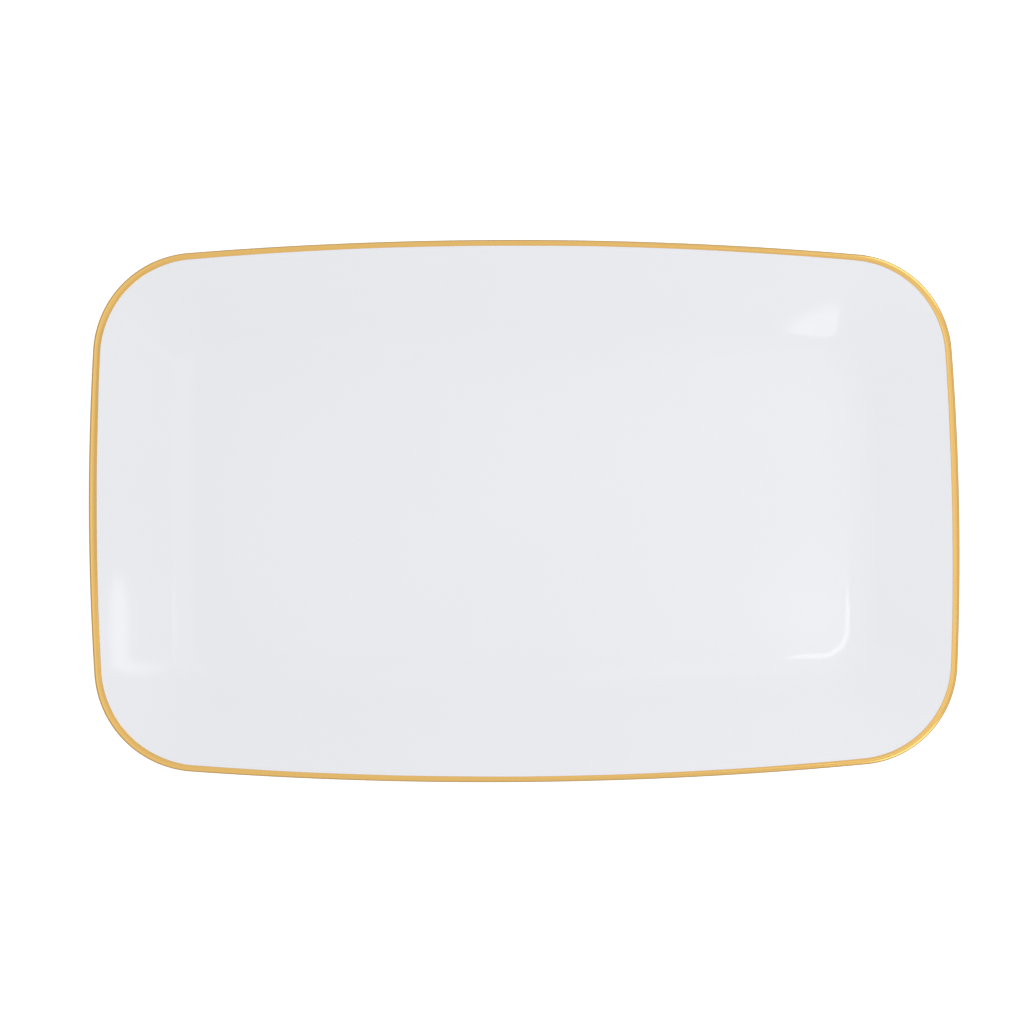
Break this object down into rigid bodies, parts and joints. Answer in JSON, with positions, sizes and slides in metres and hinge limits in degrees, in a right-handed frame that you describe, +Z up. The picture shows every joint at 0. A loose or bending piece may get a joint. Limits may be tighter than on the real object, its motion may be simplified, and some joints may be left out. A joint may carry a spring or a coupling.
{
  "type": "serving platter",
  "caption": "Oblong china serving platter with softly bowed sides, round corners, a flat well, gently rising walls, a foot ring and a narrow gold band fired over the lip.",
  "frame": {"origin": "middle of the platter in plan, at the height of the surface that its foot ring rests on", "axes": "+X along the platter's length, +Y across it, +Z up out of the well"},
  "size_m": [0.4064, 0.2524, 0.024],
  "materials": {
    "glazed_porcelain": "gloss",
    "fired_gold": "polished"
  },
  "bodies": {
    "root": {"platter_body": "glazed_porcelain", "gold_rim_band": "fired_gold"}
  },
  "joints": []
}
